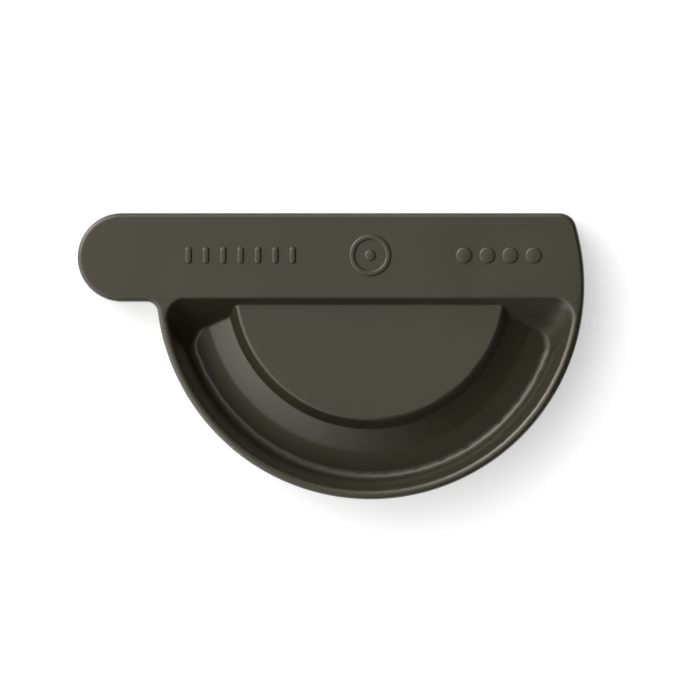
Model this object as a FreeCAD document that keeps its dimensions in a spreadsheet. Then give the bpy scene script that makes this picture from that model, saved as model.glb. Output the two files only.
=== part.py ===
"""End cap of a half-round gutter: one deep-drawn sheet with its flange turned back all round.

Frame: the origin is on the axis of the gutter's trough, in the plane of the flange's back edge.
+Z points out of the visible face, +X runs along the straight top edge away from the bead cover, and
+Y points up in use. The sheet has two skins: the front one, and the back one a sheet's thickness
further in. The same features make both, and the cap is the front skin's solid less the back skin's.
"""
import FreeCAD, Part
import math
import os

import Sketcher
from FreeCAD import Vector

# Driving sizes in millimetres and degrees: name, value, what it measures
SIZES = [
    ("gutter_width", 80.0, "inside of the gutter's trough"),
    ("gutter_sheet", 0.7, "thickness of the gutter's sheet"),
    ("gutter_bead", 16.0, "outside of the gutter's rolled bead"),
    ("bead_rise", 5.45, "from the trough's axis up to the bead's axis"),
    ("fit_gap", 0.6, "room between the gutter's trough and the flange"),
    ("sheet", 0.7, "thickness of the cap's own sheet"),
    ("corner_radius", 3.4, "outer corner where the top edge meets the trough"),
    ("neck_radius", 2.2, "hollow corner between the bead cover and the trough"),
    ("rim_width", 1.75, "from the flange's outside to the recess's round edge"),
    ("mouth_drop", 2.5, "from the trough's axis down to the recess's straight edge"),
    ("mouth_corner", 3.6, "corners of the recess"),
    ("rim_draft", 13.0, "lean of the recess's curved wall, from upright"),
    ("shelf_draft", 40.0, "lean of the recess's straight wall, from upright"),
    ("recess_depth", 9.0, "from the face to the recess's lowest corner"),
    ("rest_gap", 2.0, "from that corner's level to the flange's back edge"),
    ("groove_width", 13.75, "from the recess's round edge in to the middle panel"),
    ("panel_depth", 1.6, "from the face to the middle panel"),
    ("step_drop", 2.9, "from the middle panel down to the foot of its step"),
    ("step_width", 1.75, "from the panel's edge out to the foot of its step"),
    ("edge_bend", 0.9, "outside radius of the outward bends, where the rim has room"),
    ("panel_bend", 0.7, "hollow radius round the middle panel"),
    ("floor_bend", 1.5, "hollow radius round the recess's floor"),
]

# Places worked out from those sizes, the same for both skins
TROUGH = "(sizes.gutter_width / 2 + sizes.gutter_sheet + sizes.fit_gap + sizes.sheet)"
BEAD = "(sizes.gutter_bead / 2 + sizes.sheet)"
BEAD_ACROSS = "(sizes.gutter_width / 2 + sizes.gutter_sheet + sizes.gutter_bead / 2)"
FACE = "(sizes.recess_depth + sizes.rest_gap)"
MOUTH = f"({TROUGH} - sizes.rim_width)"
FLOOR = f"({MOUTH} - sizes.recess_depth * tan(sizes.rim_draft))"
PANEL = f"({MOUTH} - sizes.groove_width)"
STEP = f"({PANEL} + sizes.step_width)"
STEP_DEPTH = "(sizes.panel_depth + sizes.step_drop)"
STEP_ANGLE = "atan(sizes.step_drop / sizes.step_width)"
FLOOR_ANGLE = f"atan((sizes.recess_depth - {STEP_DEPTH}) / ({FLOOR} - {STEP}))"

START, END, CENTRE = 1, 2, 3
ORIGIN = (-1, 1)
TINY = 1e-4


def make_sheet(doc):
    """The driving sizes as a spreadsheet, each cell under its own alias."""
    sheet = doc.addObject("Spreadsheet::Sheet", "sizes")
    for row, (name, value, meaning) in enumerate(SIZES, start=1):
        sheet.set(f"A{row}", name)
        sheet.set(f"B{row}", str(value))
        sheet.set(f"C{row}", meaning)
        sheet.setAlias(f"B{row}", name)
    doc.recompute()
    return sheet


def arc(centre, radius, start, end):
    """An arc in a sketch's plane, from one angle anticlockwise to another."""
    circle = Part.Circle(Vector(*centre, 0), Vector(0, 0, 1), radius)
    return Part.ArcOfCircle(circle, start, end)


def line(start, end):
    """A straight line in a sketch's plane."""
    return Part.LineSegment(Vector(*start, 0), Vector(*end, 0))


def level(points, height):
    """Whether the points all lie at one height."""
    return all(abs(p.z - height) < TINY for p in points)


def around(points, radius):
    """Whether the points all lie at one distance from the trough's axis."""
    return all(abs(math.hypot(p.x, p.y) - radius) < TINY for p in points)


class Skin:
    """One skin of the sheet, as the top of a solid that reaches down to the flange's back edge."""

    def __init__(self, doc, label, inset):
        """Start the body: inset is how far the skin lies inside the front one, as an expression."""
        self.doc = doc
        self.inset = inset
        self.body = doc.addObject("PartDesign::Body", label)
        self.body.Label = label

    def value(self, expression):
        """What an expression on the sheet comes to, as a plain number."""
        result = self.body.evalExpression(expression)
        return float(getattr(result, "Value", result))

    def sketch(self, name, role, geometry, lift=None):
        """A sketch on one of the body's origin planes, lifted off it by an expression."""
        plane = next(o for o in self.body.Origin.OriginFeatures if o.Role == role)
        sketch = self.body.newObject("Sketcher::SketchObject", f"{self.body.Label}_{name}")
        sketch.AttachmentSupport = (plane, [""])
        sketch.MapMode = "FlatFace"
        if lift:
            sketch.setExpression("AttachmentOffset.Base.z", lift)
        sketch.addGeometry(geometry, False)
        return sketch

    def tie(self, sketch, kind, *places, size=None, name=None):
        """Add a constraint to a sketch and, where it has a size, bind that to an expression."""
        if size is None:
            sketch.addConstraint(Sketcher.Constraint(kind, *places))
            return
        index = sketch.addConstraint(Sketcher.Constraint(kind, *places, self.value(size)))
        sketch.renameConstraint(index, name)
        sketch.setExpression(f"Constraints.{name}", size)

    def draw_outline(self):
        """The cap's outline: trough, outer corner, top edge, bead cover and neck."""
        trough = f"({TROUGH} - {self.inset})"
        corner = f"(sizes.corner_radius - {self.inset})"
        bead = f"({BEAD} - {self.inset})"
        neck = f"(sizes.neck_radius + {self.inset})"
        trough_r, corner_r, bead_r, neck_r = map(self.value, (trough, corner, bead, neck))
        bead_x = -self.value(BEAD_ACROSS)
        bead_y = self.value("sizes.bead_rise")
        top, low = bead_y + bead_r, bead_y - bead_r
        corner_y = top - corner_r
        corner_x = math.sqrt((trough_r - corner_r) ** 2 - corner_y ** 2)
        neck_y = low - neck_r
        neck_x = -math.sqrt((trough_r + neck_r) ** 2 - neck_y ** 2)
        corner_at = math.atan2(corner_y, corner_x)
        neck_at = math.atan2(neck_y, neck_x) % (2 * math.pi)
        sketch = self.sketch("outline", "XY_Plane", [
            arc((0, 0), trough_r, neck_at, corner_at + 2 * math.pi),
            arc((corner_x, corner_y), corner_r, corner_at, math.pi / 2),
            line((corner_x, top), (bead_x, top)),
            arc((bead_x, bead_y), bead_r, math.pi / 2, 3 * math.pi / 2),
            line((bead_x, low), (neck_x, low)),
            arc((neck_x, neck_y), neck_r, neck_at - math.pi, math.pi / 2),
        ])
        self.tie(sketch, "Coincident", 0, CENTRE, *ORIGIN)
        self.tie(sketch, "Tangent", 0, END, 1, START)
        self.tie(sketch, "Tangent", 1, END, 2, START)
        self.tie(sketch, "Tangent", 2, END, 3, START)
        self.tie(sketch, "Tangent", 3, END, 4, START)
        self.tie(sketch, "Tangent", 4, END, 5, END)
        self.tie(sketch, "Tangent", 5, START, 0, START)
        self.tie(sketch, "Horizontal", 2)
        self.tie(sketch, "Horizontal", 4)
        self.tie(sketch, "Radius", 0, size=trough, name="trough")
        self.tie(sketch, "Radius", 1, size=corner, name="corner")
        self.tie(sketch, "Radius", 3, size=bead, name="bead")
        self.tie(sketch, "Radius", 5, size=neck, name="neck")
        self.tie(sketch, "DistanceX", 3, CENTRE, *ORIGIN, size=BEAD_ACROSS, name="across")
        self.tie(sketch, "DistanceY", *ORIGIN, 3, CENTRE, size="sizes.bead_rise", name="rise")
        return sketch

    def draw_recess(self, name, depth):
        """The recess's half-round outline at a depth below the face, given as an expression."""
        outwards = f"{self.inset} / cos(sizes.rim_draft)"
        upwards = f"{self.inset} / cos(sizes.shelf_draft)"
        wall = f"({MOUTH} + {outwards} - {depth} * tan(sizes.rim_draft))"
        drop = f"(sizes.mouth_drop - {upwards} + {depth} * tan(sizes.shelf_draft))"
        corner = f"(sizes.mouth_corner + {outwards})"
        wall_r, corner_r = self.value(wall), self.value(corner)
        top = -self.value(drop)
        corner_y = top - corner_r
        corner_x = math.sqrt((wall_r - corner_r) ** 2 - corner_y ** 2)
        corner_at = math.atan2(corner_y, corner_x)
        sketch = self.sketch(name, "XY_Plane", [
            arc((0, 0), wall_r, math.pi - corner_at, 2 * math.pi + corner_at),
            arc((corner_x, corner_y), corner_r, corner_at, math.pi / 2),
            line((corner_x, top), (-corner_x, top)),
            arc((-corner_x, corner_y), corner_r, math.pi / 2, math.pi - corner_at),
        ], lift=f"{FACE} - {depth}")
        self.tie(sketch, "Coincident", 0, CENTRE, *ORIGIN)
        self.tie(sketch, "Tangent", 0, END, 1, START)
        self.tie(sketch, "Tangent", 1, END, 2, START)
        self.tie(sketch, "Tangent", 2, END, 3, START)
        self.tie(sketch, "Tangent", 3, END, 0, START)
        self.tie(sketch, "Horizontal", 2)
        self.tie(sketch, "Equal", 1, 3)
        self.tie(sketch, "Radius", 0, size=wall, name="wall")
        self.tie(sketch, "Radius", 1, size=corner, name="corner")
        self.tie(sketch, "DistanceY", 2, START, *ORIGIN, size=drop, name="drop")
        return sketch

    def draw_floor(self):
        """Half the recess's floor in section: middle panel, its step and the floor that falls outwards."""
        inset = self.inset
        turn = f"(1 + cos({STEP_ANGLE} - {FLOOR_ANGLE}))"
        back = f"{inset} * (sin({STEP_ANGLE}) + sin({FLOOR_ANGLE})) / {turn}"
        down = f"{inset} * (cos({STEP_ANGLE}) + cos({FLOOR_ANGLE})) / {turn}"
        panel_r = f"({PANEL} - {inset} * tan({STEP_ANGLE} / 2))"
        panel_z = f"({FACE} - sizes.panel_depth - {inset})"
        foot_r = f"({STEP} - {back})"
        foot_z = f"({FACE} - {STEP_DEPTH} - {down})"
        rim_r = f"({FLOOR} + sizes.sheet)"
        rim_z = f"({foot_z} - ({rim_r} - {foot_r}) * tan({FLOOR_ANGLE}))"
        places = [("0", "0"), (rim_r, "0"), (rim_r, rim_z)]
        places += [(foot_r, foot_z), (panel_r, panel_z), ("0", panel_z)]
        points = [(-self.value(across), self.value(height)) for across, height in places]
        self.foot_r, self.foot_z = self.value(foot_r), self.value(foot_z)
        self.panel_r, self.panel_z = self.value(panel_r), self.value(panel_z)
        edges = [line(points[i], points[(i + 1) % len(points)]) for i in range(len(points))]
        sketch = self.sketch("floor_section", "YZ_Plane", edges)
        for i in range(len(edges)):
            self.tie(sketch, "Coincident", i, END, (i + 1) % len(edges), START)
        self.tie(sketch, "Coincident", 0, START, *ORIGIN)
        self.tie(sketch, "Horizontal", 0)
        self.tie(sketch, "Vertical", 1)
        self.tie(sketch, "Horizontal", 4)
        self.tie(sketch, "Vertical", 5)
        self.tie(sketch, "DistanceX", 0, END, *ORIGIN, size=rim_r, name="rim_radius")
        self.tie(sketch, "DistanceY", *ORIGIN, 1, END, size=rim_z, name="rim_height")
        self.tie(sketch, "DistanceX", 2, END, *ORIGIN, size=foot_r, name="foot_radius")
        self.tie(sketch, "DistanceY", *ORIGIN, 2, END, size=foot_z, name="foot_height")
        self.tie(sketch, "DistanceX", 3, END, *ORIGIN, size=panel_r, name="panel_radius")
        self.tie(sketch, "DistanceY", *ORIGIN, 3, END, size=panel_z, name="panel_height")
        return sketch

    def feature(self, kind, name, **settings):
        """A feature of the body, with its settings and then a recompute."""
        feature = self.body.newObject(kind, f"{self.body.Label}_{name}")
        for key, setting in settings.items():
            setattr(feature, key, setting)
        self.doc.recompute()
        return feature

    def edges(self, test):
        """Names of the edges of the body so far, all of whose sampled points pass a test."""
        found = []
        for i, edge in enumerate(self.body.Tip.Shape.Edges, start=1):
            span = edge.LastParameter - edge.FirstParameter
            if test([edge.valueAt(edge.FirstParameter + span * step / 6) for step in range(7)]):
                found.append(f"Edge{i}")
        return found

    def bend(self, name, test, radius):
        """Round the edges that pass a test, to a radius given as an expression."""
        base = (self.body.Tip, self.edges(test))
        fillet = self.feature("PartDesign::Fillet", name, Base=base, Radius=self.value(radius))
        fillet.setExpression("Radius", radius)
        self.doc.recompute()
        return fillet

    def build(self):
        """The skin's solid: outline, recess, floor and middle panel, with the bends round the floor."""
        height = f"{FACE} - {self.inset}"
        pad = self.feature("PartDesign::Pad", "pad", Profile=self.draw_outline(), Length=self.value(height))
        pad.setExpression("Length", height)
        self.doc.recompute()
        mouth = self.draw_recess("mouth", "0")
        bottom = self.draw_recess("bottom", FACE)
        self.feature("PartDesign::SubtractiveLoft", "recess", Profile=mouth, Sections=[bottom], Ruled=True)
        section = self.draw_floor()
        self.feature("PartDesign::Revolution", "floor", Profile=section,
                     ReferenceAxis=(section, ["V_Axis"]), Angle=180.0, Midplane=True)
        self.bend_floor()

    def on_straight_wall(self, point):
        """Whether a point lies on the recess's straight wall."""
        below_face = self.value(FACE) - point.z
        drop = self.value(f"sizes.mouth_drop - {self.inset} / cos(sizes.shelf_draft)")
        return abs(point.y + drop + below_face * self.value("tan(sizes.shelf_draft)")) < TINY

    def bend_floor(self):
        """Round the hollow edges all round the recess's floor."""

        def floor_rim(points):
            low = all(TINY < p.z < self.foot_z + TINY for p in points)
            return low and not around(points, self.foot_r)

        self.bend("floor_bend", floor_rim, f"sizes.floor_bend + {self.inset}")

    def bend_panel_foot(self):
        """Round the hollow edges of the middle panel: along the straight wall, then at its step's foot."""

        def along_wall(points):
            above_foot = all(self.foot_z - TINY < p.z < self.panel_z + TINY for p in points)
            return above_foot and all(self.on_straight_wall(p) for p in points)

        def panel_foot(points):
            return along_wall(points) or (level(points, self.foot_z) and around(points, self.foot_r))

        self.bend("panel_bend", panel_foot, f"sizes.panel_bend + {self.inset}")

    def bend_panel_rim(self):
        """Round the middle panel's outward edge."""

        def panel_rim(points):
            return level(points, self.panel_z) and around(points, self.panel_r)

        self.bend("panel_rim", panel_rim, "sizes.edge_bend")

    def bend_face_rim(self):
        """Round every outward edge of the face, as far as the rim has room."""
        face = self.value(FACE)

        def face_rim(points):
            return level(points, face)

        self.bend("face_rim", face_rim, "min(sizes.edge_bend; sizes.rim_width / 2)")


def check(doc, parts):
    """Stop with a message if an object failed or a part isn't one sound solid."""
    for thing in doc.Objects:
        if "Invalid" in thing.State or "Error" in thing.State:
            raise RuntimeError(f"{thing.Label} failed: {thing.State}")
    for part in parts:
        shape = part.Shape
        if shape.isNull() or not shape.isValid() or len(shape.Solids) != 1:
            raise RuntimeError(f"{part.Label} isn't one sound solid")


def main():
    """Build the cap and write its solid to its own file."""
    doc = FreeCAD.newDocument("gutter_end_cap")
    make_sheet(doc)
    front = Skin(doc, "front_skin", "0")
    back = Skin(doc, "back_skin", "sizes.sheet")
    front.build()
    front.bend_panel_rim()
    front.bend_panel_foot()
    front.bend_face_rim()
    back.build()
    back.bend_panel_foot()
    cap = doc.addObject("Part::Cut", "end_cap")
    cap.Label = "end_cap"
    cap.Base = front.body
    cap.Tool = back.body
    doc.recompute()
    check(doc, [cap])
    os.makedirs("parts", exist_ok=True)
    cap.Shape.exportStep(os.path.join("parts", f"{cap.Label}.step"))
    print(f"{cap.Label}: {len(cap.Shape.Faces)} faces")


main()
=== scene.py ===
"""Gutter end cap: a deep-drawn cap of coated sheet, face up on a pale floor in soft studio light.

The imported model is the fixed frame, in metres: +Z points out of the cap's face, +X runs along its
straight top edge away from the bead cover, and the floor is the plane of the flange's back edge.
"""
import logging
import math
from dataclasses import dataclass

import bmesh
import bpy
from mathutils import Matrix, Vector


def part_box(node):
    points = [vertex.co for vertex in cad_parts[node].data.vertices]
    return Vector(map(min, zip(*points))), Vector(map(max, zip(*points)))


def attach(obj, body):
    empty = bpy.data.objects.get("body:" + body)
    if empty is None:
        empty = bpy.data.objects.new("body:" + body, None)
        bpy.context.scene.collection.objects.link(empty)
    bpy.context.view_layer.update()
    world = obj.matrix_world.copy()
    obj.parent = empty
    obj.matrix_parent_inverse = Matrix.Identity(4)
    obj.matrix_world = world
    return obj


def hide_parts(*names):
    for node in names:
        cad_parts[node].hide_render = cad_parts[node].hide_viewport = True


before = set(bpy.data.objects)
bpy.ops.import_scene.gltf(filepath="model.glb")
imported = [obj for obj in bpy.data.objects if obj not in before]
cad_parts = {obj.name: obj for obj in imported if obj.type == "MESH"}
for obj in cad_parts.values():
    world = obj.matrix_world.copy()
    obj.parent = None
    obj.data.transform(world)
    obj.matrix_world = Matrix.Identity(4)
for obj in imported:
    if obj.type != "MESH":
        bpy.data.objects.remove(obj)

MM = 0.001
log = logging.getLogger("gutter_end_cap")

Colour = tuple[float, float, float]
Stops = tuple[tuple[float, float], ...]
WHITE = (1.0, 1.0, 1.0, 1.0)


def link(obj: bpy.types.Object) -> bpy.types.Object:
    """Put an object in the scene's collection, and return it."""
    bpy.context.scene.collection.objects.link(obj)
    return obj


def mesh_object(name: str, shape: bmesh.types.BMesh) -> bpy.types.Object:
    """Make an object of a finished bmesh, with every face shaded smooth.

    Args:
        name: The object's name.
        shape: The mesh in the making, which is freed here.

    Returns:
        The new object, at the origin.
    """
    for face in shape.faces:
        face.smooth = True
    mesh = bpy.data.meshes.new(name)
    shape.to_mesh(mesh)
    shape.free()
    return link(bpy.data.objects.new(name, mesh))


class Graph:
    """Nodes of one material or world, made and joined in a line each."""

    def __init__(self, owner: bpy.types.Material | bpy.types.World) -> None:
        """Start from an empty tree.

        Args:
            owner: The material or world whose tree it is.
        """
        owner.use_nodes = True
        self.tree = owner.node_tree
        self.tree.nodes.clear()

    def add(self, kind: str, inputs: dict | None = None, **settings: object) -> bpy.types.Node:
        """Add a node.

        Args:
            kind: The node's type, without its ShaderNode prefix.
            inputs: Socket names with either a value or another node's output.
            settings: Properties of the node itself.

        Returns:
            The new node.
        """
        node = self.tree.nodes.new("ShaderNode" + kind)
        for key, setting in settings.items():
            setattr(node, key, setting)
        for key, given in (inputs or {}).items():
            if isinstance(given, bpy.types.NodeSocket):
                self.tree.links.new(given, node.inputs[key])
            else:
                node.inputs[key].default_value = given
        return node

    def maths(self, operation: str, *values: object) -> bpy.types.NodeSocket:
        """Add a Math node on up to three values or sockets, and return its output."""
        node = self.add("Math", dict(enumerate(values)), operation=operation)
        return node.outputs[0]

    def ramp(self, lean: bpy.types.NodeSocket, stops: Stops) -> bpy.types.NodeSocket:
        """Add a grey ramp over one part of a direction.

        Args:
            lean: The socket that drives the ramp, from -1 to 1.
            stops: Pairs of lean and grey level, in rising order of lean.

        Returns:
            The ramp's colour output.
        """
        node = self.add("ValToRGB", {"Fac": self.maths("MULTIPLY_ADD", lean, 0.5, 0.5)})
        ramp = node.color_ramp
        ramp.interpolation = "EASE"
        while len(ramp.elements) < len(stops):
            ramp.elements.new(0.5)
        for element, (lean_at, _) in zip(ramp.elements, stops):
            element.position = (lean_at + 1) / 2
        for element, (_, level) in zip(ramp.elements, stops):
            element.color = (level, level, level, 1.0)
        return node.outputs["Color"]


@dataclass(frozen=True)
class CoilCoat:
    """Stoved coating on the sheet: dark olive-brown, glossy over satin, with faint orange peel."""

    colour: Colour = (0.018, 0.0152, 0.0065)
    sheen: Colour = (1.0, 0.955, 0.77)
    sheen_level: float = 0.73
    gloss_weight: float = 0.66
    gloss_roughness: float = 0.08
    colour_shift: float = 0.12
    shift_size: float = 14 * MM
    roughness: float = 0.5
    roughness_shift: float = 0.04
    refraction: float = 1.5
    noise_span: tuple[float, float] = (0.3, 0.7)
    peel_size: float = 1.6 * MM
    peel_height: float = 0.0013 * MM
    grain_size: float = 0.25 * MM
    grain_height: float = 0.0002 * MM

    def noise(self, graph: Graph, place: bpy.types.NodeSocket, size: float,
              detail: float) -> bpy.types.Node:
        """Add a cloudy noise of a size in metres on the object's own coordinates."""
        return graph.add("TexNoise", {"Vector": place, "Scale": 1 / size, "Detail": detail})

    def spread(self, graph: Graph, cloud: bpy.types.Node, middle: float,
               shift: float) -> bpy.types.NodeSocket:
        """Turn a noise into a value that strays from the middle by the shift at most."""
        low, high = self.noise_span
        return graph.add("MapRange", {
            "Value": cloud.outputs["Fac"], "From Min": low, "From Max": high,
            "To Min": middle - shift, "To Max": middle + shift,
        }).outputs["Result"]

    def make(self, name: str) -> bpy.types.Material:
        """Build the material's nodes.

        Args:
            name: The material's name.

        Returns:
            The material.
        """
        material = bpy.data.materials.new(name)
        graph = Graph(material)
        place = graph.add("TexCoord").outputs["Object"]
        cloud = self.noise(graph, place, self.shift_size, 3.0)
        tone = self.spread(graph, cloud, 1.0, self.colour_shift)
        dull = self.spread(graph, cloud, self.roughness, self.roughness_shift)
        colour = graph.add("VectorMath", {0: self.colour, "Scale": tone}, operation="SCALE")
        peel = self.noise(graph, place, self.peel_size, 1.0)
        grain = self.noise(graph, place, self.grain_size, 2.0)
        wave = graph.maths("MULTIPLY", peel.outputs["Fac"], self.peel_height)
        height = graph.maths("MULTIPLY_ADD", grain.outputs["Fac"], self.grain_height, wave)
        bump = graph.add("Bump", {"Height": height, "Distance": 1.0, "Strength": 1.0})
        shader = graph.add("BsdfPrincipled", {
            "Base Color": colour.outputs["Vector"],
            "Roughness": dull,
            "Normal": bump.outputs["Normal"],
            "IOR": self.refraction,
            "Specular IOR Level": self.sheen_level,
            "Specular Tint": (*self.sheen, 1.0),
            "Coat Weight": self.gloss_weight,
            "Coat Roughness": self.gloss_roughness,
        })
        graph.add("OutputMaterial", {"Surface": shader.outputs["BSDF"]})
        return material


@dataclass(frozen=True)
class PaleFloor:
    """Plain pale floor that shows white to the camera and keeps a faint shadow of the cap."""

    size: float = 4.0
    colour: float = 0.72
    glow: float = 0.5

    def build(self) -> None:
        shape = bmesh.new()
        bmesh.ops.create_grid(shape, x_segments=1, y_segments=1, size=self.size / 2)
        floor = mesh_object("floor", shape)
        material = bpy.data.materials.new("pale_floor")
        graph = Graph(material)
        path = graph.add("LightPath").outputs
        mirrored = graph.maths("MAXIMUM", path["Is Glossy Ray"], path["Is Transmission Ray"])
        seen = graph.maths("MAXIMUM", path["Is Camera Ray"], mirrored)
        glow = graph.maths("MULTIPLY", seen, self.glow)
        diffuse = graph.add("BsdfDiffuse", {"Color": (self.colour, self.colour, self.colour, 1.0)})
        light = graph.add("Emission", {"Color": WHITE, "Strength": glow})
        both = graph.add("AddShader", {0: diffuse.outputs[0], 1: light.outputs[0]})
        graph.add("OutputMaterial", {"Surface": both.outputs[0]})
        floor.data.materials.append(material)


@dataclass(frozen=True)
class Studio:
    """Soft light all round the cap: bright from above, behind it and the left, dark to the right.

    Each level is set against how far a direction leans along an axis, from -1 to 1, and the two
    levels of a direction are multiplied.
    """

    across: Stops = (
        (-1.0, 2.0), (-0.85, 2.0), (-0.65, 1.85), (-0.35, 1.38), (-0.12, 0.8), (0.0, 0.49),
        (0.12, 0.22), (0.3, 0.02), (0.6, 0.015), (1.0, 0.01),
    )
    along: Stops = (
        (-1.0, 0.1), (-0.85, 0.5), (-0.7, 0.85), (-0.3, 0.98), (0.0, 0.86),
        (0.3, 1.7), (0.6, 3.0), (0.8, 2.2), (1.0, 0.4),
    )

    def build(self) -> None:
        """Make the world's light, which the gloss mirrors and the camera sees as plain white."""
        world = bpy.data.worlds.new("studio")
        bpy.context.scene.world = world
        graph = Graph(world)
        sky = graph.add("TexCoord").outputs["Generated"]
        way = graph.add("SeparateXYZ", {"Vector": sky}).outputs
        across, along = graph.ramp(way["X"], self.across), graph.ramp(way["Y"], self.along)
        level = graph.maths("MULTIPLY", across, along)
        light = graph.add("Background", {"Color": WHITE, "Strength": level})
        white = graph.add("Background", {"Color": WHITE, "Strength": 1.0})
        path = graph.add("LightPath").outputs
        seen = graph.maths("MAXIMUM", path["Is Camera Ray"], path["Is Transmission Ray"])
        mix = graph.add("MixShader", {0: seen, 1: light.outputs[0], 2: white.outputs[0]})
        graph.add("OutputWorld", {"Surface": mix.outputs[0]})


@dataclass(frozen=True)
class Photographer:
    """Camera straight above the face, with the straight edge level in the picture."""

    centre_x: float = -6.43 * MM
    centre_y: float = -10.26 * MM
    width: float = 132.2 * MM
    distance: float = 0.9
    sensor: float = 36.0
    clip: tuple[float, float] = (0.01, 10.0)

    def build(self) -> None:
        """Place the camera and make it the scene's."""
        data = bpy.data.cameras.new("camera")
        data.sensor_width = self.sensor
        data.lens = self.sensor * self.distance / self.width
        data.clip_start, data.clip_end = self.clip
        camera = link(bpy.data.objects.new("camera", data))
        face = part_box("end_cap")[1].z
        camera.location = (self.centre_x, self.centre_y, face + self.distance)
        bpy.context.scene.camera = camera


@dataclass
class Shell:
    """The cap's one sheet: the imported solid's surface, with soft bends and crisp free edges."""

    coat: bpy.types.Material
    merge: float = 0.0005 * MM
    crease: float = math.radians(32)

    def build(self) -> bpy.types.Object:
        """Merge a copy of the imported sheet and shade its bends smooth.

        Returns:
            The sheet's object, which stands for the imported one.
        """
        shape = bmesh.new()
        shape.from_mesh(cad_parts["end_cap"].data)
        bmesh.ops.remove_doubles(shape, verts=shape.verts[:], dist=self.merge)
        bmesh.ops.dissolve_degenerate(shape, edges=shape.edges[:], dist=self.merge)
        for edge in shape.edges:
            edge.smooth = edge.is_manifold and edge.calc_face_angle(0.0) < self.crease
        log.info("open edges: %d", sum(not edge.is_manifold for edge in shape.edges))
        sheet = mesh_object("sheet", shape)
        weights = sheet.modifiers.new("weights", "WEIGHTED_NORMAL")
        weights.mode = "FACE_AREA_WITH_ANGLE"
        weights.keep_sharp = True
        sheet.data.materials.append(self.coat)
        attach(sheet, "root")
        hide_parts("end_cap")
        return sheet


@dataclass
class StripMarks:
    """Plain stamped relief on the strip, with no letters or signs: bars, a ring and studs."""

    coat: bpy.types.Material
    height: float = 0.28 * MM
    sink: float = 0.1 * MM
    bevel: float = 0.3 * MM
    bevel_steps: int = 5
    level_slack: float = 0.001 * MM
    rim_angle: float = math.radians(57)
    middle_y: float = 5.85 * MM
    bar_places: tuple[float, ...] = (-35.6, -32.2, -28.8, -25.4, -22.0, -18.6, -15.2)
    bar_width: float = 1.3 * MM
    bar_length: float = 3.3 * MM
    bar_corner: float = 0.6 * MM
    corner_steps: int = 6
    ring_radius: float = 4.1 * MM
    ring_width: float = 1.1 * MM
    ring_steps: int = 96
    stud_places: tuple[float, ...] = (18.4, 22.9, 27.4, 32.0)
    stud_radius: float = 1.6 * MM
    stud_steps: int = 48

    def spot(self, across: float = 0.0) -> Matrix:
        """Where a mark's foot stands, a little inside the sheet."""
        return Matrix.Translation((across, self.middle_y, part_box("end_cap")[1].z - self.sink))

    def finish(self, name: str, shape: bmesh.types.BMesh) -> None:
        """Raise a mark's flat faces off the strip, round their edges and fix them to the sheet.

        Args:
            name: The piece's name.
            shape: The mark's mesh, whose flat faces lie a little inside the sheet.
        """
        raised = bmesh.ops.extrude_face_region(shape, geom=shape.faces[:])["geom"]
        tops = [item for item in raised if isinstance(item, bmesh.types.BMVert)]
        bmesh.ops.translate(shape, verts=tops, vec=(0.0, 0.0, self.height + self.sink))
        bmesh.ops.recalc_face_normals(shape, faces=shape.faces[:])
        high = max(vert.co.z for vert in tops)
        rims = [edge for edge in shape.edges
                if all(abs(vert.co.z - high) < self.level_slack for vert in edge.verts)
                and edge.calc_face_angle(0.0) > self.rim_angle]
        bmesh.ops.bevel(shape, geom=rims, offset=self.bevel, offset_type="OFFSET",
                        segments=self.bevel_steps, profile=0.5, affect="EDGES", material=-1,
                        clamp_overlap=True)
        piece = mesh_object(name, shape)
        piece.data.materials.append(self.coat)
        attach(piece, "root")
        log.info("%s: %d faces", name, len(piece.data.polygons))

    def build_bars(self) -> None:
        """Stamp the row of upright bars on the bead cover's side."""
        shape = bmesh.new()
        for place in self.bar_places:
            size = Matrix.Diagonal((self.bar_width, self.bar_length, 1.0, 1.0))
            bar = bmesh.ops.create_grid(shape, x_segments=1, y_segments=1, size=0.5,
                                        matrix=self.spot(place * MM) @ size)
            bmesh.ops.bevel(shape, geom=bar["verts"], offset=self.bar_corner, offset_type="OFFSET",
                            segments=self.corner_steps, profile=0.5, affect="VERTICES",
                            material=-1)
        self.finish("marks_bars", shape)

    def build_ring(self) -> None:
        """Stamp the ring in the middle, with a round stud in it."""
        shape = bmesh.new()
        bmesh.ops.create_circle(shape, segments=self.ring_steps, radius=self.ring_radius,
                                cap_ends=True, matrix=self.spot())
        bmesh.ops.inset_individual(shape, faces=shape.faces[:], thickness=self.ring_width,
                                   use_even_offset=True)
        disc = max(shape.faces, key=lambda face: len(face.verts))
        bmesh.ops.delete(shape, geom=[disc], context="FACES")
        bmesh.ops.create_circle(shape, segments=self.stud_steps, radius=self.ring_width,
                                cap_ends=True, matrix=self.spot())
        self.finish("marks_ring", shape)

    def build_studs(self) -> None:
        """Stamp the row of round studs at the far end of the strip."""
        shape = bmesh.new()
        for place in self.stud_places:
            bmesh.ops.create_circle(shape, segments=self.stud_steps, radius=self.stud_radius,
                                    cap_ends=True, matrix=self.spot(place * MM))
        self.finish("marks_studs", shape)

    def build(self) -> None:
        """Stamp the three places of the strip."""
        self.build_bars()
        self.build_ring()
        self.build_studs()


def main() -> None:
    """Build the cap, its floor, light and camera."""
    logging.basicConfig(level=logging.INFO, format="%(name)s: %(message)s")
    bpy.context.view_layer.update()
    Photographer().build()
    Studio().build()
    PaleFloor().build()
    coat = CoilCoat().make("coil_coat")
    sheet = Shell(coat).build()
    log.info("%s: %d faces", sheet.name, len(sheet.data.polygons))
    StripMarks(coat).build()
    bpy.context.scene.view_settings.view_transform = "Standard"


if __name__ == "__main__":
    main()
